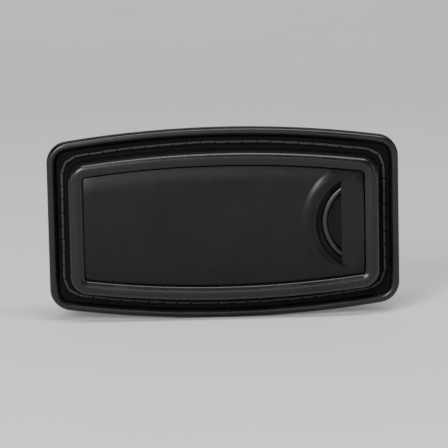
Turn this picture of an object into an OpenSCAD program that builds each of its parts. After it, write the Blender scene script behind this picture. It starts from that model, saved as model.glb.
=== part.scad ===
// Sew-on luggage address tag with a card tray that slides out sideways.
// Millimetres. +X runs to the right of the face, +Z up, and the face looks along -Y.
// The origin is the centre of the flat back, which lies in the plane y = 0.

/* [Outline] */

// overall width of the flange
tag_w = 80; // [78:0.5:90]

// overall height of the flange at its middle
tag_h = 44; // [44:0.5:52]

// corner radius of the flange
outer_corner_r = 5; // [4:0.5:6]

// how far the arched top and bottom edges drop from the middle to the corner rounding
arch_drop = 2.5; // [2:0.5:2.5]

/* [Outer bead and sewing channel] */

// width of the rounded bead round the edge
bead_w = 2; // [1.6:0.1:2.4]

// height of that bead above the back
bead_h = 2.4; // [1.8:0.1:2.4]

// width of the sewing channel between the bead and the rim
channel_w = 2.8; // [2.4:0.1:3.2]

// thickness of the channel floor
channel_t = 1; // [0.8:0.1:1.2]

// diameter of the sewing thread
thread_d = 0.6; // [0.4:0.05:0.8]

// length of one stitch on top of the channel floor
stitch_len = 2.3; // [1.8:0.1:2.5]

/* [Rim] */

// width of the raised rim bead
rim_w = 3.2; // [3:0.1:3.4]

// height of the rim crest above the back
rim_h = 6.8; // [6.7:0.1:7.4]

// how far the rim falls from its crest to its inner edge
rim_dip = 0.5; // [0.3:0.05:0.8]

// outside corner radius of the rim
rim_corner_r = 4.2; // [4:0.1:4.6]

// how far the arch of the rim drops from the middle to its corner rounding
rim_drop = 2; // [1.6:0.4:2]

// thickness of the wall under the rim
rim_wall = 1.2; // [1:0.1:1.4]

/* [Front plate] */

// height of the plate crown above the back
plate_h = 6.4; // [6:0.1:6.5]

// radius of the crown from top edge to bottom edge
crown_r = 240; // [150:10:400]

// radius of the half-moon thumb opening
opening_r = 11; // [9:0.5:12]

// distance from the middle of the tag to the left end of the thumb opening
opening_left = 20.9; // [19:0.1:22]

// distance from the middle of the tag to the straight side of the thumb opening
opening_right = 26.6; // [25.6:0.1:27]

// width of the low bead that curves round the thumb opening
opening_bead_w = 3.2; // [2.4:0.1:3.4]

// height of that low bead above the plate
opening_bead_h = 0.35; // [0.2:0.05:0.4]

/* [Card tray] */

// how far the tray slides out
tray_travel = 57.5; // [56:0.5:57.5]

// half the width of the sliding tray
tray_half_w = 12.2; // [11.6:0.1:12.2]

// length of the card pocket along the slide
card_pocket_l = 42; // [34:0.5:42]

// thickness of the address card
card_t = 0.3; // [0.2:0.05:0.35]

// thickness of the clear film over the card
film_t = 0.2; // [0.15:0.05:0.25]

// height of the crescent grip above the top of the tray
grip_h = 0.7; // [0.4:0.05:0.75]

/* [Fixings] */

// distance of each back screw from the middle, along the width
screw_x = 12; // [10:0.5:16]

// distance of each back screw in from the top or bottom edge
screw_inset = 7.9; // [7.85:0.05:8]

// diameter of the screw shank
screw_d = 1.6; // [1.4:0.1:1.7]

// diameter of the countersunk screw head
screw_head_d = 2.4; // [2.2:0.1:2.4]

/* [Hidden] */

// The thickness is stacked up from the back: floor, working gap, tray, plate flange, rim lip.
floor_t = 1.2;
tray_t = 1.5;
pocket_floor_t = 0.7;
flange_t = 0.75;
tray_z0 = bead_h + 0.2;
tray_z1 = tray_z0 + tray_t;
flange_z0 = tray_z1 + 0.1;
flange_z1 = flange_z0 + flange_t;
lip_z = flange_z1 + 0.05;
pocket_z = tray_z0 + pocket_floor_t;

// Insets from the outer outline to the faces of the rim.
rim_inset = bead_w + channel_w;
cavity_inset = rim_inset + rim_wall;
window_inset = rim_inset + rim_w;
flange_inset = cavity_inset + 0.3;
floor_inset = cavity_inset + 0.15;
field_inset = window_inset + 0.2;
stitch_inset = bead_w + channel_w / 2;

// Tray plan and the parts that guide it.
end_room = 3.5;
end_wall = 1.2;
side_wall = 1.4;
divider_w = 1.5;
lug_inset = 2;
lug_l = 1.5;
tray_left = -(tag_w / 2 - cavity_inset - end_room);
tray_right = tag_w / 2 - rim_inset;
tray_cap_x = tag_w / 2 - cavity_inset;
cap_half_w = tray_half_w + 0.4;
cap_z1 = lip_z - 0.15;
guide_y = tray_half_w + 0.25;
slot_half_w = cap_half_w + 0.2;
slot_z0 = tray_z0 - 0.1;
card_left = tray_right - tray_travel - end_wall;
card_right = card_left + card_pocket_l;
pocket_half_w = tray_half_w - side_wall;
pad_left = card_right + divider_w;
pad_right = tray_cap_x - end_wall;
lug_x0 = tray_left + lug_inset;
lug_x1 = lug_x0 + lug_l;
lug_half_w = 3;
stop_x0 = lug_x1 + tray_travel + 0.3;

// Centre of the round side of the thumb opening.
opening_x = opening_left + opening_r;

// Springs, bosses and clearances.
spring_y = 6;
spring_w = 3;
spring_t = 0.2;
spring_flat_x = 5;
spring_flat_l = 5;
spring_arch_l = 16;
spring_rise = tray_z0 - floor_t - spring_t - 0.08;
stake_d = 1.4;
boss_d = 3;
boss_z0 = floor_t + 0.1;
screw_y = tag_h / 2 - screw_inset;
screw_l = 3.2;
head_h = 0.85;
gap = 0.15;
eps = 0.5;
fine = 720;

frame_color = [0.1, 0.1, 0.105];
plate_color = [0.13, 0.13, 0.135];
tray_color = [0.16, 0.16, 0.165];
rubber_color = [0.08, 0.08, 0.08];
card_color = [0.93, 0.92, 0.88];
film_color = [0.8, 0.88, 0.9, 0.4];
steel_color = [0.72, 0.73, 0.75];
thread_color = [0.06, 0.06, 0.07];

// Each family of outlines shares its corner centres: [x, y, drop of the arch].
outer_path = [tag_w / 2 - outer_corner_r, tag_h / 2 - outer_corner_r - arch_drop, arch_drop];
rim_path = [tag_w / 2 - rim_inset - rim_corner_r,
    tag_h / 2 - rim_inset - rim_corner_r - rim_drop, rim_drop];

// Radius and centre height of the arch that passes through the corner centres.
function arch_r(path) = (pow(path[0], 2) / path[2] + path[2]) / 2;
function arch_y(path) = path[1] + path[2] - arch_r(path);

// Corner radius of the rim outline at an inset from the flange edge.
function rim_r(inset) = rim_corner_r + rim_inset - inset;

// A point past the corner rounding, on the line from the arch centre through a corner centre.
function beyond(path) = [path[0], path[1]] + 0.04 * [path[0], path[1] - arch_y(path)];

// Region of the upper arch, bounded by the lines through its two corner centres.
module arch_region(path) {
    far = beyond(path);
    polygon([
        [-path[0], 0],
        [path[0], 0],
        [path[0], path[1]],
        far,
        [-far[0], far[1]],
        [-path[0], path[1]]
    ]);
}

// Region of the upper right corner rounding.
module corner_region(path) {
    far = beyond(path);
    polygon([
        [path[0], path[1]],
        [far[0] + tag_w, path[1]],
        [far[0] + tag_w, far[1]],
        far
    ]);
}

// Barrel outline at a distance r outside its corner centres.
module barrel(path, r) {
    for (turn = [0, 180])
        rotate(turn)
            intersection() {
                translate([0, arch_y(path)])
                    circle(arch_r(path) + r, $fn = fine);
                arch_region(path);
            }
    square([2 * (path[0] + r), 2 * path[1]], center = true);
    for (sx = [-1, 1], sy = [-1, 1])
        translate([sx * path[0], sy * path[1]])
            circle(r, $fn = 48);
}

module slab(path, r, z0, z1) {
    translate([0, 0, z0])
        linear_extrude(z1 - z0)
            barrel(path, r);
}

module box(x0, x1, y0, y1, z0, z1) {
    translate([x0, y0, z0])
        cube([x1 - x0, y1 - y0, z1 - z0]);
}

// Carries a 2D section (x outward, y up) round the barrel outline at r.
module sweep_round(path, r) {
    for (turn = [0, 180])
        rotate(turn) {
            intersection() {
                translate([0, arch_y(path), 0])
                    rotate_extrude($fn = fine)
                        translate([arch_r(path) + r, 0])
                            children();
                linear_extrude(rim_h + 1)
                    arch_region(path);
            }
            for (side = [0, 1])
                mirror([side, 0])
                    intersection() {
                        translate([path[0], path[1], 0])
                            rotate_extrude($fn = 48)
                                translate([r, 0])
                                    children();
                        linear_extrude(rim_h + 1)
                            corner_region(path);
                    }
            translate([path[0] + r, path[1], 0])
                rotate([90, 0, 0])
                    linear_extrude(2 * path[1])
                        children();
        }
}

// Upright section with a round top, standing on z0.
module bead_section(w, z0, z1) {
    translate([-w / 2, z0])
        square([w, z1 - w / 2 - z0]);
    intersection() {
        translate([0, z1 - w / 2])
            circle(w / 2, $fn = 24);
        translate([-w / 2, z1 - w / 2])
            square([w, w / 2]);
    }
}

// Rim section: round on the outside, falling gently from the crest to the inner edge.
module rim_section() {
    half_w = rim_w / 2;
    dip_r = (pow(half_w, 2) + pow(rim_dip, 2)) / (2 * rim_dip);
    intersection() {
        bead_section(rim_w, lip_z, rim_h);
        translate([0, lip_z])
            square([half_w, rim_h - lip_z]);
    }
    intersection() {
        translate([0, rim_h - dip_r])
            circle(dip_r, $fn = 96);
        translate([-half_w, lip_z])
            square([half_w, rim_h - lip_z]);
    }
}

module at_screws() {
    for (sx = [-1, 1], sy = [-1, 1])
        translate([sx * screw_x, sy * screw_y])
            children();
}

module frame() {
    boss_top = lip_z + 0.2;
    floor_edge = rim_inset + rim_wall / 2;
    web_w = 1.2;
    web_end = screw_y + boss_d / 2 + 0.6;
    color(frame_color)
        rotate([90, 0, 0])
            difference() {
                union() {
                    sweep_round(outer_path, outer_corner_r - bead_w / 2)
                        bead_section(bead_w, 0, bead_h);
                    difference() {
                        slab(outer_path, outer_corner_r - bead_w / 2, 0, channel_t);
                        slab(rim_path, rim_r(floor_edge), -eps, channel_t + eps);
                    }
                    sweep_round(rim_path, rim_r(rim_inset + rim_w / 2)) {
                        translate([rim_w / 2 - rim_wall, 0])
                            square([rim_wall, lip_z + 0.1]);
                        rim_section();
                    }
                    at_screws()
                        translate([0, 0, boss_z0])
                            cylinder(d = boss_d, h = boss_top - boss_z0, $fn = 32);
                    for (sx = [-1, 1], side = [0, 1])
                        mirror([0, side, 0])
                            box(sx * screw_x - web_w / 2, sx * screw_x + web_w / 2,
                                screw_y, web_end, boss_z0, boss_top);
                }
                box(tray_cap_x - eps, tray_right + eps, -slot_half_w, slot_half_w, slot_z0, lip_z);
                at_screws()
                    translate([0, 0, boss_z0 - eps])
                        cylinder(d = screw_d + 0.1, h = screw_l + eps, $fn = 24);
            }
}

// Half-moon opening whose straight right side leads up a thumb ramp to the rim.
module thumb_opening() {
    cut_h = 4;
    slope_z = flange_z1 + 0.55;
    ramp_end = tag_w / 2 - window_inset;
    ramp_z = plate_h - 0.1;
    intersection() {
        translate([opening_x, 0, flange_z0 - eps])
            cylinder(r = opening_r, h = cut_h, $fn = 96);
        translate([0, opening_r, 0])
            rotate([90, 0, 0])
                linear_extrude(2 * opening_r)
                    polygon([
                        [opening_left - eps, flange_z0 - 1],
                        [opening_right, flange_z0 - 1],
                        [opening_right, slope_z],
                        [ramp_end, ramp_z],
                        [ramp_end, plate_h + 1],
                        [opening_left - eps, plate_h + 1]
                    ]);
    }
}

// Low rounded bead that follows the round side of the thumb opening out to the rim.
module opening_bead() {
    half_w = opening_bead_w / 2;
    edge_gap = 0.3;
    section_r = (pow(half_w, 2) + pow(opening_bead_h, 2)) / (2 * opening_bead_h);
    intersection() {
        translate([opening_x, 0, plate_h])
            rotate_extrude($fn = 96)
                translate([opening_r + edge_gap + half_w, 0])
                    intersection() {
                        translate([0, opening_bead_h - section_r])
                            circle(section_r, $fn = 96);
                        translate([-half_w, -1])
                            square([opening_bead_w, 2]);
                    }
        slab(rim_path, rim_r(field_inset), flange_z1, rim_h);
        box(0, opening_x, -tag_h / 2, tag_h / 2, 0, rim_h + 1);
    }
}

module front_plate() {
    relief_x0 = opening_right - 1;
    relief_half_w = pocket_half_w + 0.3;
    socket_z1 = lip_z + 0.3;
    color(plate_color)
        rotate([90, 0, 0])
            difference() {
                union() {
                    slab(rim_path, rim_r(flange_inset), flange_z0, flange_z1);
                    intersection() {
                        slab(rim_path, rim_r(field_inset), flange_z0, plate_h);
                        translate([0, 0, plate_h - crown_r])
                            rotate([0, 90, 0])
                                cylinder(r = crown_r, h = tag_w, center = true, $fn = fine);
                    }
                    opening_bead();
                }
                thumb_opening();
                box(relief_x0, tag_w / 2, -relief_half_w, relief_half_w,
                    flange_z0 - eps, flange_z1);
                at_screws()
                    translate([0, 0, flange_z0 - eps])
                        cylinder(d = boss_d + 2 * gap, h = socket_z1 - flange_z0 + eps, $fn = 32);
            }
}

module back_plate() {
    rail_z1 = flange_z0 - 0.05;
    runner_y = 9.2;
    runner_w = 1;
    runner_z1 = tray_z0 - 0.05;
    runner_x0 = tray_left + 1;
    runner_x1 = tray_cap_x - 2;
    end_stop_x = tray_left - 0.5;
    stop_l = 1.4;
    stop_half_w = lug_half_w + 1;
    stop_z1 = tray_z0 - 0.3;
    shank_hole_d = screw_d + 0.3;
    color(frame_color)
        rotate([90, 0, 0])
            difference() {
                union() {
                    slab(rim_path, rim_r(floor_inset), 0, floor_t);
                    difference() {
                        slab(rim_path, rim_r(floor_inset), floor_t - eps, rail_z1);
                        box(end_stop_x, tag_w / 2, -guide_y, guide_y, floor_t, rail_z1 + eps);
                        at_screws()
                            translate([0, 0, floor_t])
                                cylinder(d = boss_d + 4 * gap, h = rail_z1, $fn = 32);
                    }
                    for (side = [-1, 1])
                        box(runner_x0, runner_x1, side * runner_y - runner_w / 2,
                            side * runner_y + runner_w / 2, floor_t - eps, runner_z1);
                    box(stop_x0, stop_x0 + stop_l, -stop_half_w, stop_half_w, floor_t - eps, stop_z1);
                    for (side = [-1, 1])
                        translate([spring_flat_x + spring_flat_l / 2, side * spring_y, floor_t - eps])
                            cylinder(d = stake_d, h = spring_t + 0.4 + eps, $fn = 24);
                }
                at_screws() {
                    translate([0, 0, -eps])
                        cylinder(d = shank_hole_d, h = floor_t + 2 * eps, $fn = 24);
                    cylinder(d1 = screw_head_d + 0.2, d2 = shank_hole_d, h = head_h + 0.05, $fn = 32);
                }
            }
}

module rounded_plan(x0, x1, half_y, r) {
    translate([x0 + r, -half_y + r])
        square([x1 - x0 - 2 * r, 2 * (half_y - r)]);
    translate([x0, -half_y + r])
        square([x1 - x0, 2 * (half_y - r)]);
    translate([x0 + r, -half_y])
        square([x1 - x0 - 2 * r, 2 * half_y]);
    for (x = [x0 + r, x1 - r], side = [-1, 1])
        translate([x, side * (half_y - r)])
            circle(r, $fn = 24);
}

module plan_slab(x0, x1, half_y, r, z0, z1) {
    translate([0, 0, z0])
        linear_extrude(z1 - z0)
            rounded_plan(x0, x1, half_y, r);
}

module card_tray() {
    nub_l = 4;
    nub_w = 0.8;
    nub_inset = 8;
    nub_y = pocket_half_w - 0.3;
    nub_z0 = pocket_z + card_t + film_t + 0.08;
    color(tray_color)
        rotate([90, 0, 0]) {
            difference() {
                union() {
                    plan_slab(tray_left, tray_cap_x + eps, tray_half_w, 1, tray_z0, tray_z1);
                    box(tray_cap_x, tray_right, -cap_half_w, cap_half_w, tray_z0, cap_z1);
                    box(lug_x0, lug_x1, -lug_half_w, lug_half_w, floor_t + 0.2, tray_z0 + 0.2);
                }
                plan_slab(card_left, card_right, pocket_half_w, 1, pocket_z, tray_z1 + eps);
                plan_slab(pad_left, pad_right, pocket_half_w, 1, pocket_z, tray_z1 + eps);
            }
            for (x = [card_left + nub_inset, card_right - nub_inset], side = [-1, 1])
                box(x - nub_l / 2, x + nub_l / 2, side * nub_y - nub_w / 2, side * nub_y + nub_w / 2,
                    nub_z0, tray_z1);
        }
}

// Rubber pad with a shallow dish and a crescent ridge that the thumb pushes against.
module thumb_pad() {
    ridge_w = 1.8;
    ridge_r = opening_r - 0.9 - ridge_w / 2;
    ridge_end = opening_right + 1;
    dish_r = 8;
    dish_depth = 0.35;
    dish_x = opening_right - 0.2;
    pad_z1 = tray_z1 - 0.02;
    color(rubber_color)
        rotate([90, 0, 0]) {
            difference() {
                plan_slab(pad_left + gap, pad_right - gap, pocket_half_w - gap, 1, pocket_z, pad_z1);
                translate([dish_x, 0, pad_z1 - dish_depth + dish_r])
                    rotate([90, 0, 0])
                        cylinder(r = dish_r, h = tag_h, center = true, $fn = 96);
            }
            intersection() {
                translate([opening_x, 0, 0])
                    rotate_extrude($fn = 96)
                        translate([ridge_r, 0])
                            bead_section(ridge_w, pocket_z + 0.2, tray_z1 + grip_h);
                box(0, ridge_end, -ridge_r, ridge_r, 0, rim_h);
            }
        }
}

module address_card() {
    color(card_color)
        rotate([90, 0, 0])
            plan_slab(card_left + gap, card_right - gap, pocket_half_w - gap, 0.8,
                pocket_z, pocket_z + card_t);
}

module card_window() {
    film_z0 = pocket_z + card_t + 0.03;
    color(film_color)
        rotate([90, 0, 0])
            plan_slab(card_left + gap, card_right - gap, pocket_half_w - gap, 0.8,
                film_z0, film_z0 + film_t);
}

// Leaf spring section along the slide: flat foot, then an arch that presses on the tray.
module spring_section() {
    half_l = spring_arch_l / 2;
    bend_r = (pow(half_l, 2) + pow(spring_rise, 2)) / (2 * spring_rise);
    arch_x = spring_flat_x + spring_flat_l + half_l;
    translate([spring_flat_x, floor_t])
        square([spring_flat_l + 0.2, spring_t]);
    intersection() {
        translate([arch_x, floor_t + spring_t + spring_rise - bend_r])
            difference() {
                circle(bend_r, $fn = fine);
                circle(bend_r - spring_t, $fn = fine);
            }
        translate([arch_x - half_l, floor_t])
            square([spring_arch_l, spring_rise + 1]);
    }
}

module tray_springs() {
    color(steel_color)
        rotate([90, 0, 0])
            for (side = [-1, 1])
                translate([0, side * spring_y, 0])
                    difference() {
                        translate([0, spring_w / 2, 0])
                            rotate([90, 0, 0])
                                linear_extrude(spring_w)
                                    spring_section();
                        translate([spring_flat_x + spring_flat_l / 2, 0, floor_t - eps])
                            cylinder(d = stake_d + 0.1, h = spring_t + 2 * eps, $fn = 24);
                    }
}

module back_screws() {
    recess_l = 1.5;
    recess_w = 0.35;
    recess_t = 0.5;
    head_z = 0.05;
    color(steel_color)
        rotate([90, 0, 0])
            at_screws()
                difference() {
                    union() {
                        translate([0, 0, head_z])
                            cylinder(d1 = screw_head_d, d2 = screw_d, h = head_h, $fn = 32);
                        translate([0, 0, head_z + head_h - 0.1])
                            cylinder(d = screw_d, h = screw_l, $fn = 24);
                    }
                    for (turn = [0, 90])
                        rotate(turn)
                            translate([0, 0, head_z + recess_t / 2 - eps / 2])
                                cube([recess_l, recess_w, recess_t + eps], center = true);
                }
}

module stitch() {
    rotate([0, 90, 0])
        cylinder(d = thread_d, h = stitch_len, center = true, $fn = 16);
}

module stitching() {
    r = 3.9;
    arch_count = 21;
    side_count = 8;
    corner_count = 2;
    path = [tag_w / 2 - stitch_inset - r, tag_h / 2 - stitch_inset - r - arch_drop, arch_drop];
    lift = channel_t + thread_d / 2 + 0.02;
    a = asin(path[0] / arch_r(path));
    side_pitch = 2 * path[1] / side_count;
    color(thread_color)
        rotate([90, 0, 0])
            translate([0, 0, lift])
                for (turn = [0, 180])
                    rotate(turn) {
                        for (i = [0 : arch_count - 1])
                            translate([0, arch_y(path)])
                                rotate(a * (2 * i + 1 - arch_count) / arch_count)
                                    translate([0, arch_r(path) + r])
                                        stitch();
                        for (side = [0, 1], i = [0 : corner_count - 1])
                            mirror([side, 0])
                                translate([path[0], path[1]])
                                    rotate((90 - a) * (2 * i + 1) / (2 * corner_count) - 90)
                                        translate([0, r])
                                            stitch();
                        for (i = [0 : side_count - 1])
                            translate([path[0] + r, (i + 0.5) * side_pitch - path[1]])
                                rotate(90)
                                    stitch();
                    }
}

frame();
front_plate();
back_plate();
card_tray();
thumb_pad();
address_card();
card_window();
tray_springs();
back_screws();
stitching();
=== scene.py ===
"""Looks of a sew-on luggage address tag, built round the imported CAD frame.

Pieces are shaped in millimetres in the tag's own plane: u to the right, v up the face and
w out of the face, measured from the flat back. to_row() turns that into the row frame.
"""

import math
from contextlib import contextmanager

import bmesh
import bpy
import numpy as np
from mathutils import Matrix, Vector
from mathutils.geometry import delaunay_2d_cdt
from mathutils.kdtree import KDTree


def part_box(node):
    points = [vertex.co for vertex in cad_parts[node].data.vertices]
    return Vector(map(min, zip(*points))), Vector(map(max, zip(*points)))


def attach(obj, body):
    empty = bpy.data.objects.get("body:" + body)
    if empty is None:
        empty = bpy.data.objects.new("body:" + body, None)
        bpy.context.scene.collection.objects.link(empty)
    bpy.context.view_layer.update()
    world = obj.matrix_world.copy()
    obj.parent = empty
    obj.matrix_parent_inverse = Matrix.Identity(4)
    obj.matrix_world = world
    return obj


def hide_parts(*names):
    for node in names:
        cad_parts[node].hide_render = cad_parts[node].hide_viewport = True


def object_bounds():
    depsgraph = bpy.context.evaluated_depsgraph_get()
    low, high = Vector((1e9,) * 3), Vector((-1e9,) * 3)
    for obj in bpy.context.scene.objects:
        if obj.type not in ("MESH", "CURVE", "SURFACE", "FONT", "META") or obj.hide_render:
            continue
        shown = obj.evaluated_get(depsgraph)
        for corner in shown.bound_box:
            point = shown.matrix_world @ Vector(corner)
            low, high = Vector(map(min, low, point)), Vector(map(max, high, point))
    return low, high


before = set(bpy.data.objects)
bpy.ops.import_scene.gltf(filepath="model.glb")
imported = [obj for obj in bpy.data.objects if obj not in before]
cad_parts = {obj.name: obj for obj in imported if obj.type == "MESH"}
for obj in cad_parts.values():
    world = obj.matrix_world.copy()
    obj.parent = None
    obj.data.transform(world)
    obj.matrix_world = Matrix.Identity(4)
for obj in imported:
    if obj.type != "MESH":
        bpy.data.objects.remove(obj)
CAD_BOX = [list(corner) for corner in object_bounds()]

MM = 0.001
SEED = 7

# ---------------------------------------------------------------- sizes, in millimetres


def span(node, axis):
    """Lowest and highest coordinate of a CAD node along a row axis, in millimetres."""
    low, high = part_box(node)
    return low[axis] / MM, high[axis] / MM


TAG_W = span("frame", 0)[1] * 2
TAG_H = span("frame", 2)[1] * 2
RIM_H = -span("frame", 1)[0]
TRAY_RIGHT = span("card_tray", 0)[1]

# Tray levels above the back.
TRAY_Z0 = 2.6
TRAY_Z1 = 4.1
POCKET_Z = 3.3

# Outer bead and sewing channel.
BEAD_W = 2.0
BEAD_H = 2.4
CHANNEL_W = 2.8
CHANNEL_T = 1.0
OUTER_R = 5.0
ARCH_DROP = 2.5

# Raised rim and its overhanging lip.
RIM_W = 3.2
RIM_WALL = 1.2
RIM_R = 4.2
RIM_DROP = 2.0
RIM_DIP = 0.5
RIM_INSET = BEAD_W + CHANNEL_W
LIP_Z = 5.0

# Front plate: raised field on a thin flange, with the half-moon thumb opening.
PLATE_TOP = 6.4
FLANGE_Z0 = 4.2
FLANGE_Z1 = 4.95
FIELD_GAP = 0.2
FLANGE_GAP = 0.3
OPENING_R = 11.0
OPENING_X = 31.9
OPENING_RIGHT = 26.6
RAMP_END = 31.8
RAMP_LOW = LIP_Z + 0.5
RAMP_HIGH = PLATE_TOP - 0.12
TWICE_CROWN_R = 480.0
EDGE_ROUND = 0.16
OPENING_ROUND = 0.3

# Slot for the tray, and the four screw bosses.
SLOT_HALF_W = 12.8
SLOT_Z0 = TRAY_Z0 - 0.1
SCREW_X = 12.0
SCREW_Y = 14.1
SCREW_CORNERS = [(sx, sy) for sx in (-1, 1) for sy in (-1, 1)]
BOSS_R = 1.5
BOSS_Z0 = 1.3


class Path:
    """Outlines that share their corner centres: arched top and bottom, straight sides."""

    def __init__(self, x, y, drop):
        self.x = x
        self.y = y
        self.arch_r = (x * x / drop + drop) / 2
        self.arch_y = y + drop - self.arch_r
        self.angle = math.asin(x / self.arch_r)

    def core(self, arch_n, corner_n, side_n):
        """Points at radius 0 and outward normals, clockwise from the top left."""
        quarter = math.pi / 2
        points = []
        normals = []
        for turn in (1, -1):
            for i in range(arch_n):
                a = self.angle * (2 * i / arch_n - 1)
                normal = (math.sin(a), math.cos(a))
                points.append((self.arch_r * normal[0], self.arch_y + self.arch_r * normal[1]))
                normals.append(normal)
            for i in range(corner_n):
                a = self.angle + (quarter - self.angle) * i / corner_n
                points.append((self.x, self.y))
                normals.append((math.sin(a), math.cos(a)))
            for i in range(side_n):
                points.append((self.x, self.y - 2 * self.y * i / side_n))
                normals.append((1.0, 0.0))
            for i in range(corner_n):
                a = quarter + (quarter - self.angle) * i / corner_n
                points.append((self.x, -self.y))
                normals.append((math.sin(a), math.cos(a)))
            if turn == 1:
                half = len(points)
        points = np.array(points)
        normals = np.array(normals)
        points[half:] *= -1
        normals[half:] *= -1
        return points, normals

    def loop(self, r, counts=(120, 14, 28)):
        points, normals = self.core(*counts)
        return points + r * normals

    def edge_distance(self, r, u, v):
        """Distances in from the straight sides and from the arches of the outline at r."""
        side = self.x + r - np.abs(u)
        arch = self.arch_r + r - np.hypot(u, np.abs(v) - self.arch_y)
        return side, arch


OUTER = Path(TAG_W / 2 - OUTER_R, TAG_H / 2 - OUTER_R - ARCH_DROP, ARCH_DROP)
RIM = Path(TAG_W / 2 - RIM_INSET - RIM_R, TAG_H / 2 - RIM_INSET - RIM_R - RIM_DROP, RIM_DROP)


def rim_r(inset):
    """Radius of the rim's outline at an inset from the flange's edge."""
    return RIM_R + RIM_INSET - inset


FIELD_R = rim_r(RIM_INSET + RIM_W + FIELD_GAP)
FLANGE_R = rim_r(RIM_INSET + RIM_WALL + FLANGE_GAP)

# ---------------------------------------------------------------- mesh helpers


def to_row(points):
    """(u, v, w) in millimetres to row-frame metres."""
    p = np.asarray(points, float)
    return np.stack([p[:, 0], -p[:, 2], p[:, 1]], axis=1) * MM


def add_object(name, points, faces, row_frame=False):
    """New mesh object from (u, v, w) points, or from row-frame metres with row_frame."""
    mesh = bpy.data.meshes.new(name)
    coords = np.asarray(points, float) if row_frame else to_row(points)
    mesh.from_pydata([tuple(p) for p in coords], [], [tuple(f) for f in faces])
    mesh.validate()
    mesh.update()
    obj = bpy.data.objects.new(name, mesh)
    bpy.context.scene.collection.objects.link(obj)
    return obj


@contextmanager
def edited(obj):
    """The object's mesh as a bmesh, written back at the end."""
    bm = bmesh.new()
    bm.from_mesh(obj.data)
    yield bm
    bm.to_mesh(obj.data)
    bm.free()


def clean(obj, merge=1e-7):
    """Welds loose points and turns every face outwards."""
    with edited(obj) as bm:
        bmesh.ops.remove_doubles(bm, verts=bm.verts, dist=merge)
        bmesh.ops.recalc_face_normals(bm, faces=bm.faces)
    return obj


def smooth(obj, degrees, flat_areas):
    """Smooth shading, with edges sharper than the angle kept crisp."""
    limit = math.radians(degrees)
    with edited(obj) as bm:
        for face in bm.faces:
            face.smooth = True
        for edge in bm.edges:
            edge.smooth = len(edge.link_faces) == 2 and edge.calc_face_angle(0.0) < limit
    if flat_areas:
        mod = obj.modifiers.new("flat_areas_stay_flat", "WEIGHTED_NORMAL")
        mod.keep_sharp = True
        mod.weight = 100


def apply_modifiers(obj):
    """Bakes the object's modifiers into its mesh."""
    graph = bpy.context.evaluated_depsgraph_get()
    baked = bpy.data.meshes.new_from_object(obj.evaluated_get(graph))
    obj.modifiers.clear()
    obj.data = baked
    return obj


def carve(obj, cutters, operation="DIFFERENCE"):
    """Boolean with each cutter in turn; the cutters are used up."""
    for cutter in cutters:
        mod = obj.modifiers.new("carve", "BOOLEAN")
        mod.operation = operation
        mod.solver = "EXACT"
        mod.object = cutter
        bpy.context.view_layer.update()
        apply_modifiers(obj)
        bpy.data.objects.remove(cutter)
    return obj


def join(name, objects):
    """One object from several, each kept as its own closed shell."""
    points = []
    faces = []
    for obj in objects:
        start = len(points)
        points += [tuple(v.co) for v in obj.data.vertices]
        faces += [[start + i for i in f.vertices] for f in obj.data.polygons]
        bpy.data.objects.remove(obj)
    return add_object(name, points, faces, row_frame=True)


def loft(name, loops, closed=True):
    """Skin over closed loops with equal point counts; closed joins the last loop to the first."""
    n = len(loops[0])
    points = np.concatenate(loops)
    faces = []
    rings = len(loops) if closed else len(loops) - 1
    for k in range(rings):
        a = k * n
        b = ((k + 1) % len(loops)) * n
        for i in range(n):
            j = (i + 1) % n
            faces.append((a + i, a + j, b + j, b + i))
    if not closed:
        faces.append(tuple(range(n)))
        faces.append(tuple((rings * n + i) for i in reversed(range(n))))
    return clean(add_object(name, points, faces))


def level(outline, w):
    """A flat loop of 2D points at height w."""
    return np.column_stack([outline, np.full(len(outline), float(w))])


def prism(name, outline, w0, w1):
    """Upright solid with the outline as its plan."""
    return loft(name, [level(outline, w0), level(outline, w1)], closed=False)


def block(name, u0, u1, v0, v1, w0, w1):
    """Rectangular block between the given coordinates."""
    outline = np.array([(u0, v0), (u1, v0), (u1, v1), (u0, v1)])
    return prism(name, outline, w0, w1)


def disc(u, v, r, n):
    """Circle as n points."""
    a = np.arange(n) * 2 * math.pi / n
    return np.column_stack([u + r * np.cos(a), v + r * np.sin(a)])


def turned(name, profile, u, v, n):
    """Closed lathe shape round an axis along w, from (radius, w) pairs of a closed profile."""
    loops = [level(disc(u, v, r, n), w) for r, w in profile]
    return loft(name, loops, closed=True)


def arc(cx, cy, r, start, end, n):
    """Points on an arc given in degrees."""
    a = np.radians(np.linspace(start, end, n))
    return [(cx + r * math.cos(t), cy + r * math.sin(t)) for t in a]


def rounded_rect(u0, u1, half_v, r):
    """Outline of a rectangle with rounded corners, eight points to a corner."""
    corners = [(u1 - r, half_v - r, 0), (u0 + r, half_v - r, 90),
               (u0 + r, r - half_v, 180), (u1 - r, r - half_v, 270)]
    points = []
    for cx, cy, a in corners:
        points += arc(cx, cy, r, a, a + 90, 8)
    return np.array(points)


def densify(outline, step):
    """Extra points along the long edges of a closed outline."""
    result = []
    for a, b in zip(outline, np.roll(outline, -1, axis=0)):
        count = max(1, int(round(np.linalg.norm(b - a) / step)))
        for i in range(count):
            result.append(a + (b - a) * i / count)
    return np.array(result)


def inside(outline, points):
    """Even-odd test of many points against a closed outline."""
    x = points[:, 0]
    y = points[:, 1]
    result = np.zeros(len(points), bool)
    for (x0, y0), (x1, y1) in zip(outline, np.roll(outline, -1, axis=0)):
        crosses = (y0 > y) != (y1 > y)
        if y1 != y0:
            at = (x1 - x0) * (y - y0) / (y1 - y0) + x0
            result ^= crosses & (x < at)
    return result


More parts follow.
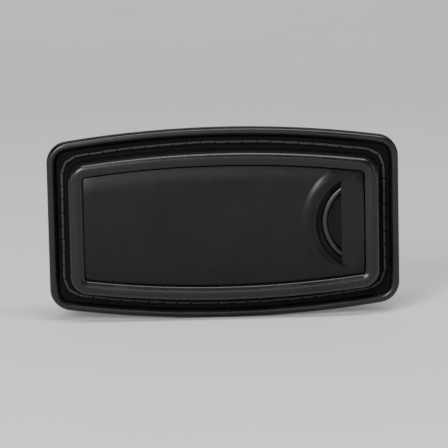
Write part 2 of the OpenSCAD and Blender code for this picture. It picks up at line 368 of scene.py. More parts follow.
def thin_out(points, groups):
    """Adds each (candidates, spacing) group, keeping points that have room round them."""
    kept = [tuple(p) for p in points]
    for candidates, spacing in groups:
        tree = KDTree(len(kept))
        for i, (x, y) in enumerate(kept):
            tree.insert((x, y, 0), i)
        tree.balance()
        kept += [tuple(c) for c in candidates if tree.find((c[0], c[1], 0))[2] > spacing]
    return np.array(kept)


def relief(name, outline, top, bottom, groups):
    """Closed solid with a shaped top: top(u, v) and bottom(u, v) give heights."""
    rim_count = len(outline)
    inner = [(c[inside(outline, c)], gap) for c, gap in groups]
    flat = thin_out(outline, inner)
    edges = [(i, (i + 1) % rim_count) for i in range(rim_count)]
    verts, _, tris, _, _, _ = delaunay_2d_cdt([Vector(p) for p in flat], edges, [], 1, 1e-9, False)
    flat = np.array([tuple(v) for v in verts])
    count = len(flat)
    w_top = top(flat[:, 0], flat[:, 1])
    w_bottom = bottom(flat[:, 0], flat[:, 1])
    points = np.concatenate([np.column_stack([flat, w_top]), np.column_stack([flat, w_bottom])])
    faces = [tuple(t) for t in tris]
    faces += [tuple(count + i for i in reversed(t)) for t in tris]
    faces += [(j, i, count + i, count + j) for i, j in edges]
    return clean(add_object(name, points, faces))


def cad_copy(name, node):
    """A new piece with the CAD node's shape, welded and with its flat areas joined."""
    weld = 1e-6
    flat = math.radians(0.6)
    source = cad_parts[node]
    bm = bmesh.new()
    bm.from_mesh(source.data)
    bmesh.ops.transform(bm, matrix=source.matrix_world, verts=bm.verts)
    bmesh.ops.remove_doubles(bm, verts=bm.verts, dist=weld)
    bmesh.ops.dissolve_limit(bm, angle_limit=flat, verts=bm.verts, edges=bm.edges)
    mesh = bpy.data.meshes.new(name)
    bm.to_mesh(mesh)
    bm.free()
    obj = bpy.data.objects.new(name, mesh)
    bpy.context.scene.collection.objects.link(obj)
    return obj


def tidy_mesh(obj, size=2e-6):
    """Removes faces and edges too small to see, which bevels and booleans leave behind."""
    with edited(obj) as bm:
        bmesh.ops.remove_doubles(bm, verts=bm.verts, dist=size)
        bmesh.ops.dissolve_degenerate(bm, edges=bm.edges, dist=size)
    return obj


def ease_edges(obj, width, segments=2):
    """Rounds the sharp edges of a moulding."""
    mod = obj.modifiers.new("eased_edges", "BEVEL")
    mod.width = width * MM
    mod.segments = segments
    mod.limit_method = "ANGLE"
    mod.angle_limit = math.radians(40)
    return tidy_mesh(apply_modifiers(obj))


def finish_piece(obj, material, body, node, angle=32, flat_areas=True):
    """Shading, material and body of a piece; the CAD node it stands in for is hidden."""
    smooth(obj, angle, flat_areas)
    obj.data.materials.clear()
    obj.data.materials.append(material)
    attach(obj, body)
    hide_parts(node)


# ---------------------------------------------------------------- materials


class Shader:
    """A small wrapper for building node materials."""

    def __init__(self, name):
        self.material = bpy.data.materials.new(name)
        self.material.use_nodes = True
        self.tree = self.material.node_tree
        self.bsdf = self.tree.nodes["Principled BSDF"]
        self.coords = self.node("ShaderNodeTexCoord").outputs["Object"]

    def node(self, kind, **settings):
        node = self.tree.nodes.new(kind)
        for key, value in settings.items():
            setattr(node, key, value)
        return node

    def link(self, source, target):
        self.tree.links.new(source, target)

    def put(self, target, value):
        """Links a socket, or sets a plain value."""
        if isinstance(value, bpy.types.NodeSocket):
            self.link(value, target)
        else:
            target.default_value = value

    def set(self, name, value):
        """One input of the surface shader."""
        self.put(self.bsdf.inputs[name], value)

    def noise(self, per_mm, detail=2.0, roughness=0.5, stretch=(1, 1, 1), distortion=0.0):
        """Noise whose features measure about 1 / per_mm millimetres."""
        mapping = self.node("ShaderNodeMapping")
        mapping.inputs["Scale"].default_value = [s * per_mm / MM for s in stretch]
        self.link(self.coords, mapping.inputs["Vector"])
        tex = self.node("ShaderNodeTexNoise")
        tex.inputs["Scale"].default_value = 1.0
        tex.inputs["Detail"].default_value = detail
        tex.inputs["Roughness"].default_value = roughness
        tex.inputs["Distortion"].default_value = distortion
        self.link(mapping.outputs["Vector"], tex.inputs["Vector"])
        return tex.outputs["Fac"]

    def remap(self, value, low, high, to_low=0.0, to_high=1.0, soft=False):
        """Maps low..high to to_low..to_high, clamped."""
        node = self.node("ShaderNodeMapRange")
        if soft:
            node.interpolation_type = "SMOOTHSTEP"
        self.put(node.inputs["Value"], value)
        node.inputs["From Min"].default_value = low
        node.inputs["From Max"].default_value = high
        node.inputs["To Min"].default_value = to_low
        node.inputs["To Max"].default_value = to_high
        return node.outputs["Result"]

    def math(self, operation, a, b=0.0):
        node = self.node("ShaderNodeMath", operation=operation)
        self.put(node.inputs[0], a)
        self.put(node.inputs[1], b)
        return node.outputs[0]

    def mix(self, fac, a, b):
        node = self.node("ShaderNodeMix", data_type="RGBA")
        self.put(node.inputs[0], fac)
        self.put(node.inputs[6], a)
        self.put(node.inputs[7], b)
        return node.outputs[2]

    def bump(self, height, distance_mm, strength):
        node = self.node("ShaderNodeBump")
        node.inputs["Strength"].default_value = strength
        node.inputs["Distance"].default_value = distance_mm * MM
        self.link(height, node.inputs["Height"])
        return node.outputs["Normal"]

    def axis(self, index):
        """Object coordinate along one row axis, in millimetres."""
        split = self.node("ShaderNodeSeparateXYZ")
        self.link(self.coords, split.inputs[0])
        return self.math("MULTIPLY", split.outputs[index], 1 / MM)


def grey(level):
    """A very slightly cool grey."""
    return (level, level, level * 1.03, 1.0)


def moulded_plastic(name, tone, rough, grain=0.012, specular=0.26, wear=0.5, painted_channel_shade=False):
    """Black moulded plastic: spark-eroded grain, handling sheen, rubbed edges and dust.

    Optionally, everything close to the level of the sewing channel's floor is made matt and darker; the
    darkening is painted shade for the shadow in the narrow groove.
    """
    s = Shader(name)
    grain_tex = s.noise(5.0, detail=3.0, roughness=0.6)
    blotch = s.noise(0.09, detail=4.0, roughness=0.55)
    scuff = s.noise(1.1, detail=5.0, roughness=0.7, stretch=(0.25, 1, 1.6), distortion=0.4)
    dust = s.remap(s.noise(3.2, detail=6.0, roughness=0.75), 0.66, 0.78, 0.0, 0.35)
    edge = s.node("ShaderNodeNewGeometry").outputs["Pointiness"]
    rubbed = s.math("MULTIPLY", s.remap(edge, 0.52, 0.62, soft=True), s.remap(scuff, 0.4, 0.65))
    base = s.mix(s.remap(blotch, 0.35, 0.65), grey(tone * 0.85), grey(tone * 1.2))
    base = s.mix(s.math("MULTIPLY", rubbed, wear), base, grey(tone * 3.0))
    base = s.mix(dust, base, grey(tone * 2.6))
    worn = s.math("MULTIPLY", s.remap(scuff, 0.42, 0.7), -0.06)
    rough_value = s.remap(blotch, 0.3, 0.7, rough - 0.04, rough + 0.05)
    rough_value = s.math("ADD", rough_value, worn)
    shine = specular
    # Painted shade: near the channel floor's level the colour is darkened towards grey(tone * 0.35) to
    # stand in for the groove's shadow; it is also made rougher and less shiny.
    if painted_channel_shade:
        above = s.remap(s.axis(1), -1.9, -CHANNEL_T - 0.05, soft=True)
        channel_shade_mask = s.math("MULTIPLY", above, s.math("LESS_THAN", s.axis(1), -CHANNEL_T * 0.7))
        rough_value = s.math("ADD", rough_value, s.math("MULTIPLY", channel_shade_mask, 0.3))
        shine = s.remap(channel_shade_mask, 0.0, 1.0, specular, specular * 0.25)
        base = s.mix(channel_shade_mask, base, grey(tone * 0.35))
    s.set("Base Color", base)
    s.set("Roughness", rough_value)
    s.set("Specular IOR Level", shine)
    s.set("Normal", s.bump(grain_tex, grain, 0.6))
    return s.material


def rubber(name, tone):
    """Matt rubber with fine pores, rubbed smoother where the thumb meets the ridge."""
    s = Shader(name)
    pores = s.noise(7.0, detail=3.0, roughness=0.6)
    patch = s.noise(0.25, detail=3.0)
    s.set("Base Color", s.mix(s.remap(patch, 0.35, 0.65), grey(tone * 0.8), grey(tone * 1.3)))
    rubbed = s.remap(s.axis(1), -TRAY_Z1 - 0.1, -TRAY_Z1 - 0.6, soft=True)
    matt = s.remap(patch, 0.3, 0.7, 0.46, 0.58)
    s.set("Roughness", s.math("SUBTRACT", matt, s.math("MULTIPLY", rubbed, 0.16)))
    s.set("Specular IOR Level", s.remap(rubbed, 0.0, 1.0, 0.15, 0.6))
    s.set("Normal", s.bump(pores, 0.02, 0.6))
    return s.material


def paper(name):
    """Card stock with generic writing rules and no lettering."""
    s = Shader(name)
    fibre = s.noise(2.2, detail=8.0, roughness=0.7, stretch=(1, 1, 0.5))
    stock = s.mix(s.remap(fibre, 0.3, 0.7), (0.80, 0.78, 0.72, 1), (0.88, 0.865, 0.81, 1))
    x = s.axis(0)
    z = s.axis(2)
    left, right = span("address_card", 0)
    top = span("address_card", 2)[1]
    pitch = 3.6
    half_line = 0.09
    side_margin = 3.0
    end_margin = 2.6
    first_line = 3.4
    row = s.math("PINGPONG", s.math("ADD", z, top - first_line), pitch / 2)
    on_row = s.math("LESS_THAN", row, half_line)
    in_x = s.math("MULTIPLY", s.math("GREATER_THAN", x, left + side_margin),
                  s.math("LESS_THAN", x, right - side_margin))
    in_z = s.math("LESS_THAN", s.math("ABSOLUTE", z), top - end_margin)
    rules = s.math("MULTIPLY", on_row, s.math("MULTIPLY", in_x, in_z))
    s.set("Base Color", s.mix(rules, stock, (0.16, 0.2, 0.27, 1)))
    s.set("Roughness", s.remap(fibre, 0.3, 0.7, 0.68, 0.85))
    s.set("Normal", s.bump(fibre, 0.02, 0.5))
    return s.material


def clear_film(name):
    """Thin clear film: mostly see-through, with a glossy, faintly scratched surface."""
    s = Shader(name)
    scratch = s.noise(0.8, detail=6.0, roughness=0.8, stretch=(0.15, 1, 2.5))
    s.set("Base Color", (0.95, 0.97, 0.98, 1))
    s.set("Roughness", s.remap(scratch, 0.35, 0.75, 0.05, 0.22))
    s.set("Alpha", s.remap(scratch, 0.4, 0.8, 0.12, 0.2))
    s.set("Specular IOR Level", 0.6)
    s.set("Normal", s.bump(s.noise(0.12, detail=2.0), 0.05, 0.5))
    return s.material


def steel(name, tone, rough):
    """Brushed steel, slightly stained."""
    s = Shader(name)
    brushed = s.noise(6.0, detail=4.0, roughness=0.7, stretch=(0.06, 1, 1))
    stain = s.noise(0.5, detail=3.0)
    s.set("Metallic", 1.0)
    s.set("Base Color", s.mix(s.remap(stain, 0.35, 0.7), grey(tone), grey(tone * 0.75)))
    s.set("Roughness", s.remap(brushed, 0.3, 0.7, rough - 0.06, rough + 0.12))
    s.set("Normal", s.bump(brushed, 0.006, 0.6))
    return s.material


def thread(name, tone):
    """Bonded polyester thread with fine filaments."""
    s = Shader(name)
    filament = s.noise(14.0, detail=3.0, roughness=0.7)
    s.set("Base Color", s.mix(s.remap(filament, 0.3, 0.7), grey(tone * 0.6), grey(tone * 1.8)))
    s.set("Roughness", 0.6)
    s.set("Sheen Weight", 0.15)
    s.set("Normal", s.bump(filament, 0.02, 0.7))
    return s.material


# ---------------------------------------------------------------- frame moulding

STITCH_R = 3.9

# Blind needle holes from the front and from the back, as (radius, w).
DRILL_FRONT = ((0.28, 0.35), (0.3, 0.7), (0.48, CHANNEL_T + 0.06))
DRILL_BACK = ((0.45, -0.1), (0.3, 0.25))
ARCH_STITCHES = 21
SIDE_STITCHES = 8
CORNER_STITCHES = 2


def stitch_path():
    """Line of the seam, along the middle of the sewing channel."""
    inset = BEAD_W + CHANNEL_W / 2
    return Path(TAG_W / 2 - inset - STITCH_R, TAG_H / 2 - inset - STITCH_R - ARCH_DROP, ARCH_DROP)


def needle_holes():
    """Centres of the needle holes, clockwise; stitch k lies between hole k and hole k + 1."""
    points, normals = stitch_path().core(ARCH_STITCHES, CORNER_STITCHES, SIDE_STITCHES)
    return points + STITCH_R * normals, normals


def frame_section():
    """The moulding's cross-section as (path, r, w), once round, from the back outer edge."""
    fillet = 0.4
    edge = 0.25
    lip_edge = 0.12
    lip_foot = 0.1
    wall_foot = 0.15
    notch = 0.02
    bead_r = BEAD_W / 2
    rim_half = RIM_W / 2
    lip_r = rim_r(RIM_INSET + RIM_W)
    wall_r = rim_r(RIM_INSET + RIM_WALL)
    section = []

    def turn(path, r, w, radius, start, end, n):
        section.extend((path, x, y) for x, y in arc(r, w, radius, start, end, n))

    turn(OUTER, OUTER_R - edge, edge, edge, -90, 0, 5)
    turn(OUTER, OUTER_R - bead_r, BEAD_H - bead_r, bead_r, 0, 180, 21)
    turn(OUTER, OUTER_R - BEAD_W - fillet, CHANNEL_T + fillet, fillet, 0, -90, 6)
    turn(RIM, RIM_R + fillet, CHANNEL_T + fillet, fillet, -90, -180, 6)
    turn(RIM, RIM_R - rim_half, RIM_H - rim_half, rim_half, 0, 90, 15)
    dip_r = (rim_half ** 2 + RIM_DIP ** 2) / (2 * RIM_DIP)
    fall = math.degrees(math.asin((rim_half - lip_edge) / dip_r))
    turn(RIM, RIM_R - rim_half, RIM_H - dip_r, dip_r, 90, 90 + fall, 12)
    turn(RIM, lip_r + lip_edge, RIM_H - RIM_DIP - 0.08, lip_edge, 120, 180, 4)
    turn(RIM, lip_r + lip_foot, LIP_Z + lip_foot, lip_foot, 180, 270, 3)
    section.append((RIM, wall_r - notch, LIP_Z))
    section.append((RIM, wall_r, LIP_Z - notch))
    turn(RIM, wall_r + wall_foot, wall_foot, wall_foot, 180, 270, 3)
    return section


def screw_boss(sx, sy):
    """A bored post and the web that ties it to the wall; its top stays hidden in the seam."""
    u = sx * SCREW_X
    v = sy * SCREW_Y
    chamfer = 0.15
    bore_r = 0.85
    bore_top = 4.5
    web_half = 0.6
    seam_half = 2.0
    seam_v = sorted((sy * 12.0, sy * 13.8))
    web_v = sorted((sy * 15.2, sy * 16.2))
    post = [(BOSS_R - chamfer, BOSS_Z0), (BOSS_R, BOSS_Z0 + chamfer), (BOSS_R, LIP_Z + 0.05)]
    boss = loft("boss", [level(disc(u, v, r, 32), w) for r, w in post], closed=False)
    seam = block("cut_seam", u - seam_half, u + seam_half, *seam_v, FLANGE_Z1 - 0.07, LIP_Z + 1.0)
    bore = prism("cut_bore", disc(u, v, bore_r, 32), 1.0, bore_top)
    carve(boss, [seam, bore])
    web = block("web", u - web_half, u + web_half, *web_v, BOSS_Z0 + 0.05, LIP_Z + 0.03)
    return [boss, web]


def build_frame(material):
    """Flange with bead and channel, rim with its lip, tray slot, needle holes and bosses."""
    loops = [level(path.loop(r), w) for path, r, w in frame_section()]
    shell = loft("frame_moulding", loops)
    slot = block("cut_slot", TRAY_RIGHT - 2.0, TRAY_RIGHT + 1.2, -SLOT_HALF_W, SLOT_HALF_W,
                 SLOT_Z0, LIP_Z + 0.001)
    holes = needle_holes()[0]
    drills = [loft("drill", [level(disc(u, v, r, 14), w) for r, w in drill], closed=False)
              for u, v in holes for drill in (DRILL_FRONT, DRILL_BACK)]
    carve(shell, [slot, join("drills", drills)])
    for sx, sy in SCREW_CORNERS:
        carve(shell, screw_boss(sx, sy), "UNION")
    finish_piece(tidy_mesh(clean(shell)), material, "holder", "frame")


# ---------------------------------------------------------------- front plate


def bump_profile(x):
    """1 in the middle, 0 at x = 1, with a crisp foot."""
    return np.clip(1 - x * x, 0, None) ** 0.9


def rounded_off(distance, radius):
    """How far a rounded edge falls at a distance in from it."""
    return radius - np.sqrt(radius ** 2 - np.clip(radius - distance, 0, radius) ** 2)


def plate_top(u, v):
    """Height of the plate's face: low crown, soft shoulders, bead and ramp at the opening."""
    arch_fall, arch_reach = 0.42, 5.0
    side_fall, side_reach = 0.12, 3.0
    side, arch = RIM.edge_distance(FIELD_R, u, v)
    w = PLATE_TOP - v * v / TWICE_CROWN_R
    w -= arch_fall * np.clip(1 - arch / arch_reach, 0, None) ** 2
    w -= side_fall * np.clip(1 - side / side_reach, 0, None) ** 2
    r = np.hypot(u - OPENING_X, v)
    w += opening_bead(u, v, r)
    rise = np.clip((u - OPENING_RIGHT) / (RAMP_END - OPENING_RIGHT), 0, 1)
    ramp = RAMP_LOW + rise * (RAMP_HIGH - RAMP_LOW)
    on_ramp = (r < OPENING_R - 0.02) & (u > OPENING_RIGHT - 0.01)
    lip = np.where(u > OPENING_RIGHT, np.clip(0.5 * (w - ramp), 0, OPENING_ROUND), OPENING_ROUND)
    near = np.clip(1 - (r - OPENING_R) / OPENING_ROUND, 0, 1) * (u < OPENING_X)
    w -= lip * (1 - np.sqrt(1 - near ** 2))
    w = np.where(on_ramp, np.minimum(w, ramp), w)
    return w - rounded_off(np.minimum(side, arch), EDGE_ROUND)


def opening_bead(u, v, r):
    """Low bead round the left side of the opening, fading towards its ends."""
    height = 0.36
    middle = OPENING_R + 1.9
    half_w = 1.45
    fade_start = 7.5
    fade_length = 4.5
    fade = 1 - 0.8 * np.clip((np.abs(v) - fade_start) / fade_length, 0, 1) ** 1.5
    return height * bump_profile(np.abs(r - middle) / half_w) * fade * (u < OPENING_X)


def arc_points(cx, cy, radii, start, end, step):
    """Points along several concentric arcs, about step apart."""
    points = []
    for r in radii:
        count = max(3, int(math.radians(end - start) * r / step))
        points += arc(cx, cy, r, start, end, count)
    return np.array(points)


def grid_points(u0, u1, v0, v1, step):
    """Staggered grid of points."""
    u, v = np.meshgrid(np.arange(u0, u1, step), np.arange(v0, v1, step))
    u = u + (np.arange(len(u)) % 2)[:, None] * step / 2
    return np.column_stack([u.ravel(), v.ravel()])


def plate_points():
    """Groups of (points, spacing) that give the plate's face its detail, finest first."""
    edge_steps = (0.02, 0.05, 0.1, 0.16, 0.3, 0.6)
    shoulder_steps = (1.0, 1.5, 2.1, 2.8)
    opening_steps = (-0.4, -0.05, 0.0, 0.02, 0.05, 0.09, 0.14, 0.2, 0.26, 0.3, 0.42)
    ramp_steps = (0.0, 0.12, 0.3)
    edge_rings = np.concatenate([RIM.loop(FIELD_R - d, (160, 5, 50)) for d in edge_steps])
    more_rings = np.concatenate([RIM.loop(FIELD_R - d, (120, 3, 40)) for d in shoulder_steps])
    turns = np.radians(np.linspace(90, 270, 161))
    unit = np.column_stack([np.cos(turns), np.sin(turns)])
    opening = np.concatenate([(OPENING_X, 0) + (OPENING_R + d) * unit for d in opening_steps])
    bead_radii = np.arange(OPENING_R + 0.55, OPENING_R + 3.6, 0.16)
    bead = arc_points(OPENING_X, 0, bead_radii, 90, 270, 0.3)
    lines = np.array([(OPENING_RIGHT + d, v) for d in ramp_steps for v in np.arange(-9.6, 9.7, 0.35)])
    lines = lines[np.hypot(lines[:, 0] - OPENING_X, lines[:, 1]) < OPENING_R - 0.2]
    field = grid_points(-32, 32, -14, 14, 0.7)
    return [(edge_rings, 0.02), (opening, 0.015), (lines, 0.02), (bead, 0.08),
            (more_rings, 0.3), (field, 0.45)]


def build_front_plate(material):
    """Raised panel with the thumb opening, on a thin flange that the lip holds down."""
    field_root = FLANGE_Z1 - 0.3
    below = 3.5
    above = 8.0
    relief_half = 11.1
    socket_r = BOSS_R + 0.15
    outline = RIM.loop(FIELD_R, (160, 5, 50))
    panel = relief("front_plate_panel", outline, plate_top,
                   lambda u, v: np.full(len(u), field_root), plate_points())
    flange = prism("flange", RIM.loop(FLANGE_R, (60, 6, 10)), FLANGE_Z0, FLANGE_Z1)
    carve(panel, [flange], "UNION")
    reach = math.degrees(math.acos((OPENING_RIGHT - OPENING_X) / OPENING_R))
    well = arc(OPENING_X, 0, OPENING_R, reach, 360 - reach, 121)
    cutters = [prism("cut_well", np.array(well[::-1]), below, above),
               block("cut_relief", OPENING_RIGHT - 1, TAG_W / 2 + 1, -relief_half, relief_half,
                     below, FLANGE_Z1)]
    for sx, sy in SCREW_CORNERS:
        socket = disc(sx * SCREW_X, sy * SCREW_Y, socket_r, 32)
        cutters.append(prism("cut_boss", socket, below, FLANGE_Z1 + 0.02))
    carve(panel, cutters)
    finish_piece(tidy_mesh(clean(panel)), material, "holder", "front_plate",
                 angle=28)


# ---------------------------------------------------------------- tray and its contents


def build_thumb_pad(material):
    """Pad with a shallow dish and a crescent ridge that the thumb pushes against."""
    u0, u1 = span("thumb_pad", 0)
    half_v = span("thumb_pad", 2)[1]
    base = -span("thumb_pad", 1)[1]
    crest = -span("thumb_pad", 1)[0]
    pad_top = TRAY_Z1 - 0.02
    corner_r = 1.0
    dish_u = 26.4
    dish_half = 2.4
    dish_depth = 0.35
    ridge_r = OPENING_R - 1.95
    ridge_half = 0.85
    ridge_root = 0.3
    ridge_end = OPENING_RIGHT + 1.0
    ridge_fade = 0.8
    edge_fall, edge_reach = 0.12, 0.25

    def top(u, v):
        r = np.hypot(u - OPENING_X, v)
        w = pad_top - dish_depth * np.clip(1 - ((u - dish_u) / dish_half) ** 2, 0, None)
        fade = np.clip((ridge_end - u) / ridge_fade, 0, 1)
        across = np.clip(1 - (np.abs(r - ridge_r) / ridge_half) ** 2.4, 0, None) ** 0.6
        ridge = pad_top - ridge_root + (crest - pad_top + ridge_root) * across * fade
        edge = np.minimum(np.minimum(u - u0, u1 - u), half_v - np.abs(v))
        w = w - edge_fall * np.clip(1 - edge / edge_reach, 0, None) ** 2
        return np.maximum(w, ridge)

    outline = densify(rounded_rect(u0, u1, half_v, corner_r), 0.5)
    rings = arc_points(OPENING_X, 0, ridge_r + np.arange(-1.1, 1.15, 0.1), 100, 260, 0.2)
    edge = np.concatenate([densify(rounded_rect(u0 + d, u1 - d, half_v - d, corner_r - d), 0.5)
                           for d in (0.06, 0.14, 0.26)])
    groups = [(edge, 0.03), (rings, 0.03), (grid_points(u0, u1, -half_v, half_v, 0.4), 0.25)]
    pad = relief("thumb_pad_rubber", outline, top, lambda u, v: np.full(len(u), base), groups)
    finish_piece(pad, material, "tray", "thumb_pad", angle=40)


def build_leaf(name, node, material, wave):
    """A thin sheet in a node's box, very slightly wavy."""
    u0, u1 = span(node, 0)
    half_v = span(node, 2)[1]
    low = -span(node, 1)[1]
    high = -span(node, 1)[0]
    corner_r = 0.8

    def ripple(u, v):
        return wave * np.sin(u * 0.33 + 0.4) * np.cos(v * 0.21)

    outline = densify(rounded_rect(u0, u1, half_v, corner_r), 1.0)
    inner = grid_points(u0, u1, -half_v, half_v, 1.0)
    sheet = relief(name, outline, lambda u, v: high - wave + ripple(u, v),
                   lambda u, v: low + wave + ripple(u, v), [(inner, 0.6)])
    finish_piece(sheet, material, "tray", node)


# ---------------------------------------------------------------- stitching


def tangents_of(line):
    """Unit tangents along a line of points."""
    tangents = np.gradient(line, axis=0)
    return tangents / np.linalg.norm(tangents, axis=1)[:, None]


def tube(centres, radius, sides):
    """Closed tube round a centre line, as (points, faces)."""
    tangents = tangents_of(centres)
    side = np.cross(tangents[0], (0.0, 0.0, 1.0))
    if np.linalg.norm(side) < 0.2:
        side = np.cross(tangents[0], (0.0, 1.0, 0.0))
    side /= np.linalg.norm(side)
    radii = np.broadcast_to(radius, len(centres))
    points = []
    for centre, tangent, r in zip(centres, tangents, radii):
        side = side - tangent * side.dot(tangent)
        side /= np.linalg.norm(side)
        up = np.cross(tangent, side)
        for k in range(sides):
            a = 2 * math.pi * k / sides
            points.append(centre + r * (math.cos(a) * side + math.sin(a) * up))
    faces = []
    for i in range(len(centres) - 1):
        for k in range(sides):
            j = (k + 1) % sides
            faces.append((i * sides + k, i * sides + j, (i + 1) * sides + j, (i + 1) * sides + k))
    last = (len(centres) - 1) * sides
    faces.append(tuple(reversed(range(sides))))
    faces.append(tuple(last + k for k in range(sides)))
    return points, faces


def stitch_line(start, end, normal, jitter):
    """Centre line of one stitch: up out of one needle hole, along the floor, down the next."""
    along = end - start
    length = np.linalg.norm(along)
    along /= length
    inset = 0.2
    lie = CHANNEL_T + 0.26
    samples = 44
    smoothing_rounds = 3
    shape = [(inset, 0.12), (inset, 0.6), (inset + 0.02, 1.0), (inset + 0.14, lie - 0.08),
             (inset + 0.4, lie)]
    middle = [(length * f, lie + 0.03 + jitter[0]) for f in (0.35, 0.5, 0.65)]
    profile = shape + middle + [(length - s, w) for s, w in reversed(shape)]
    flat = [start + along * s + normal * jitter[1] * math.sin(math.pi * s / length) for s, _ in profile]
    rough = np.column_stack([np.array(flat), [w for _, w in profile]])
    t = np.linspace(0, len(rough) - 1, samples)
    line = np.column_stack([np.interp(t, np.arange(len(rough)), rough[:, k]) for k in range(3)])
    for _ in range(smoothing_rounds):
        line[1:-1] = (line[:-2] + 2 * line[1:-1] + line[2:]) / 4
    return line


def twisted(line, plies, lay_r, pitch):
    """Ply centre lines twisted round a thread's centre line."""
    steps = np.linalg.norm(np.diff(line, axis=0), axis=1)
    length = np.concatenate([[0], np.cumsum(steps)])
    tangents = tangents_of(line)
    skew = (0.31, 0.87, 0.38)
    side = np.cross(tangents[0], skew)
    frames = []
    for tangent in tangents:
        side = side - tangent * side.dot(tangent)
        side /= np.linalg.norm(side)
        frames.append((side, np.cross(tangent, side)))
    lines = []
    for p in range(plies):
        angle = 2 * math.pi * (length / pitch + p / plies)
        lines.append(np.array([c + lay_r * (math.cos(a) * s + math.sin(a) * n)
                               for c, a, (s, n) in zip(line, angle, frames)]))
    return lines


def build_stitching(material):
    """Three-ply thread in every stitch, each lying a little differently."""
    plies = 3
    ply_r = 0.145
    lay_r = 0.13
    twist_pitch = 1.25
    holes, normals = needle_holes()
    rng = np.random.default_rng(SEED)
    points = []
    faces = []
    for k, start in enumerate(holes):
        end = holes[(k + 1) % len(holes)]
        jitter = (rng.uniform(-0.02, 0.02), rng.uniform(-0.06, 0.06))
        line = stitch_line(start, end, normals[k], jitter)
        for ply in twisted(line, plies, lay_r, twist_pitch):
            p, f = tube(ply, ply_r, 7)
            faces += [tuple(len(points) + i for i in face) for face in f]
            points += p
    stitches = add_object("sewing_thread", np.array(points), faces)
    finish_piece(clean(stitches, 1e-9), material, "holder", "stitching",
                 angle=60, flat_areas=False)


# ---------------------------------------------------------------- fixed small parts and tray

# Rounding of the edges of mouldings and of sheet metal.
MOULDED_EDGE = 0.08
SHEARED_EDGE = 0.03

SCREW_SHANK_R = 0.62
SCREW_CREST_R = 0.8


def screw_body(u, v, tip, turn_deg):
    """Countersunk head with a tapered cross recess, and a shank that ends in a blunt tip."""
    axis = 0.0001
    head_r = 1.2
    head_top = 0.05
    neck = 0.9
    shank_r = SCREW_SHANK_R
    profile = [(axis, head_top + 0.02), (head_r * 0.7, head_top), (head_r - 0.03, head_top + 0.02),
               (head_r, head_top + 0.1), (shank_r + 0.05, neck - 0.12), (shank_r, neck),
               (shank_r, tip - 0.5), (shank_r * 0.55, tip - 0.12), (axis, tip)]
    body = turned("screw", profile, u, v, 28)
    centre = np.array((u, v))
    half_l = 0.72
    half_w = 0.17
    taper = 0.45
    cross = []
    for turn in (0, 90):
        a = math.radians(turn + turn_deg)
        along = np.array((math.cos(a), math.sin(a)))
        across = np.array((-along[1], along[0]))
        bar = np.array([centre + along * x + across * y for x, y in
                        ((-half_l, -half_w), (half_l, -half_w), (half_l, half_w), (-half_l, half_w))])
        point = centre + (bar - centre) * taper
        cross.append(loft("cross", [level(bar, -0.3), level(bar, 0.12), level(point, 0.62)],
                          closed=False))
    return carve(body, cross)


def screw_thread(u, v, tip):
    """Rolled thread: a tube wound round the shank, thin at both ends."""
    thread_start = 1.05
    thread_turns = 3.6
    winding_r = SCREW_SHANK_R + 0.03
    turns = np.linspace(0, 1, 120)
    angle = turns * 2 * math.pi * thread_turns
    w = thread_start + turns * (tip - 1.55)
    helix = np.column_stack([u + winding_r * np.cos(angle), v + winding_r * np.sin(angle), w])
    fade = np.clip(np.minimum(turns, 1 - turns) * 12, 0.15, 1) * (SCREW_CREST_R - SCREW_SHANK_R)
    points, faces = tube(helix, fade, 6)
    return add_object("thread", np.array(points), faces)


def build_screws(material):
    """Countersunk self-tapping screws, each stopped at a different turn."""
    tip = -span("back_screws", 1)[0]
    made = []
    for sx, sy in SCREW_CORNERS:
        u, v = sx * SCREW_X, sy * SCREW_Y
        made += [screw_body(u, v, tip, 20 * sx + 35 * sy), screw_thread(u, v, tip)]
    screws = clean(join("back_screw_set", made))
    finish_piece(screws, material, "holder", "back_screws", angle=35)


def build_back_plate(material):
    """The CAD moulding with ejector marks, a gate scar and a shallow sunk field."""
    plate = cad_copy("back_plate_moulding", "back_plate")
    outside = -0.5
    field_depth = 0.12
    mark_depth = 0.07
    mark_r = 1.3
    field = densify(rounded_rect(-25.0, 25.0, 9.6, 2.0), 4.0)
    cutters = [prism("field", field, outside, field_depth)]
    for u in (-27.5, 0.0, 27.5):
        for v in (-11.2, 11.2):
            cutters.append(prism("ejector", disc(u, v, mark_r, 40), outside, mark_depth))
    carve(plate, cutters)
    gate = turned("gate", [(0.3, 0.05), (0.9, 0.05), (0.75, 0.3), (0.45, 0.3)], 0.0, 0.0, 32)
    carve(plate, [gate], "UNION")
    ease_edges(plate, MOULDED_EDGE)
    finish_piece(plate, material, "holder", "back_plate")


def build_card_tray(material):
    """The CAD moulding with finger ribs on its end and ejector marks in the pocket."""
    tray = cad_copy("card_tray_moulding", "card_tray")
    groove_depth = 0.14
    groove_half = 0.22
    groove_pitch = 0.9
    grooves = [block("rib_cut", TRAY_RIGHT - groove_depth, TRAY_RIGHT + 0.5,
                     v - groove_half, v + groove_half, 2.9, 4.6)
               for v in np.arange(-7.2, 7.3, groove_pitch)]
    marks = [prism("ejector", disc(u, v, 1.1, 32), POCKET_Z - 0.06, POCKET_Z + 0.3)
             for u in (-19.0, -2.5, 14.0) for v in (-7, 7)]
    carve(tray, [join("rib_cuts", grooves), join("marks", marks)])
    ease_edges(tray, MOULDED_EDGE)
    finish_piece(tray, material, "tray", "card_tray")


def build_springs(material):
    """The two CAD leaf springs with eased edges."""
    springs = ease_edges(cad_copy("tray_spring_pair", "tray_springs"), SHEARED_EDGE, 1)
    finish_piece(springs, material, "holder", "tray_springs")
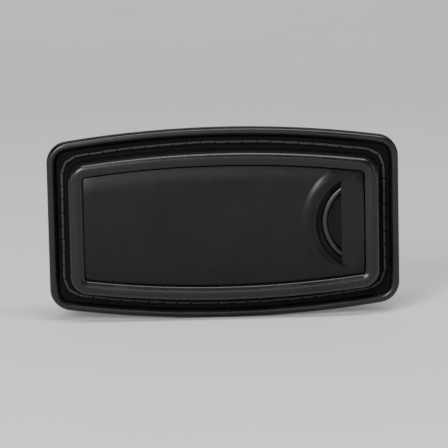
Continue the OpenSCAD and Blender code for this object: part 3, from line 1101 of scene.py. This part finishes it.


# ---------------------------------------------------------------- build every piece

# The frame's material carries painted shade on the sewing channel's floor.
black_plastic = moulded_plastic("satin_black_moulding", 0.0045, 0.28, specular=0.36, painted_channel_shade=True)
panel_plastic = moulded_plastic("satin_black_panel", 0.004, 0.3, grain=0.01, specular=0.22)
inner_plastic = moulded_plastic("matt_black_inner", 0.011, 0.5, grain=0.016, wear=0.3)
tray_plastic = moulded_plastic("matt_charcoal_tray", 0.009, 0.45, grain=0.014, wear=0.4)
pad_rubber = rubber("thumb_pad_rubber", 0.004)
card_stock = paper("ruled_card_stock")
film = clear_film("clear_film")
spring_steel = steel("spring_steel", 0.3, 0.34)
screw_steel = steel("black_zinc_screw", 0.12, 0.34)
black_thread = thread("black_thread", 0.013)

build_frame(black_plastic)
build_front_plate(panel_plastic)
build_thumb_pad(pad_rubber)
build_leaf("address_card_sheet", "address_card", card_stock, 0.02)
build_leaf("card_window_film", "card_window", film, 0.012)
build_stitching(black_thread)
build_screws(screw_steel)
build_back_plate(inner_plastic)
build_card_tray(tray_plastic)
build_springs(spring_steel)

# ---------------------------------------------------------------- studio


def build_floor():
    """A pale sweep: flat floor that curls up into a backdrop behind the tag."""
    low = CAD_BOX[0][2]
    half_width = 3.0
    front = -3.0
    wall_top = 3.0
    curl_start = 0.35
    curl_r = 0.6
    profile = [(front, 0.0), (curl_start, 0.0)]
    for a in np.radians(np.arange(6, 91, 6)):
        profile.append((curl_start + curl_r * math.sin(a), curl_r - curl_r * math.cos(a)))
    profile.append((curl_start + curl_r, wall_top))
    points = []
    faces = []
    for y, z in profile:
        points += [(-half_width, y, low + z), (half_width, y, low + z)]
    for i in range(len(profile) - 1):
        faces.append((2 * i, 2 * i + 1, 2 * i + 3, 2 * i + 2))
    floor = add_object("studio_floor", points, faces, row_frame=True)
    for polygon in floor.data.polygons:
        polygon.use_smooth = True
    s = Shader("pale_paper_sweep")
    tint = s.noise(0.02, detail=3.0)
    s.set("Base Color", s.mix(tint, (0.74, 0.735, 0.72, 1), (0.78, 0.775, 0.76, 1)))
    s.set("Roughness", 0.9)
    floor.data.materials.append(s.material)


WARM_WHITE = (1.0, 0.99, 0.97)


def add_light(name, place, size, power, colour=WARM_WHITE):
    """Rectangular area light that faces the tag."""
    data = bpy.data.lights.new(name, "AREA")
    data.shape = "RECTANGLE"
    data.size, data.size_y = size
    data.energy = power
    data.color = colour
    light = bpy.data.objects.new(name, data)
    light.location = place
    light.rotation_euler = (-Vector(place)).to_track_quat("-Z", "Y").to_euler()
    bpy.context.scene.collection.objects.link(light)


def build_lights():
    """A soft key from the upper left and weak fills, like an overcast street."""
    add_light("key", (-0.42, -1.0, 0.5), (0.35, 0.45), 11.0, (1.0, 0.985, 0.96))
    add_light("top", (0.1, -0.4, 0.95), (0.9, 0.25), 9.0)
    add_light("front", (-0.25, -1.3, 0.26), (0.9, 0.22), 2.4)
    add_light("side", (-1.0, -0.6, 0.15), (0.2, 0.6), 2.6)
    add_light("fill", (1.0, -0.7, 0.25), (0.2, 0.6), 2.0, (0.95, 0.97, 1.0))


def build_camera():
    """Almost head on, a little above, with a long lens and the tag's slight tilt."""
    elevation = math.radians(10.0)
    azimuth = math.radians(-1.5)
    tilt = math.radians(-1.2)
    distance = 0.75
    centre = Vector((0.0, CAD_BOX[0][1] / 2, 0.0))
    away = Vector((math.sin(azimuth) * math.cos(elevation),
                   -math.cos(azimuth) * math.cos(elevation), math.sin(elevation)))
    data = bpy.data.cameras.new("camera")
    data.lens = 265
    data.sensor_width = 36
    camera = bpy.data.objects.new("camera", data)
    camera.location = centre + away * distance
    camera.rotation_euler = (-away).to_track_quat("-Z", "Y").to_euler()
    camera.rotation_euler.rotate_axis("Z", tilt)
    bpy.context.scene.collection.objects.link(camera)
    bpy.context.scene.camera = camera


def build_world():
    """Faint cool light from all round."""
    world = bpy.data.worlds.new("studio")
    world.use_nodes = True
    background = world.node_tree.nodes["Background"]
    background.inputs["Color"].default_value = (0.93, 0.95, 1.0, 1)
    background.inputs["Strength"].default_value = 0.16
    bpy.context.scene.world = world


build_floor()
build_world()
build_lights()
build_camera()
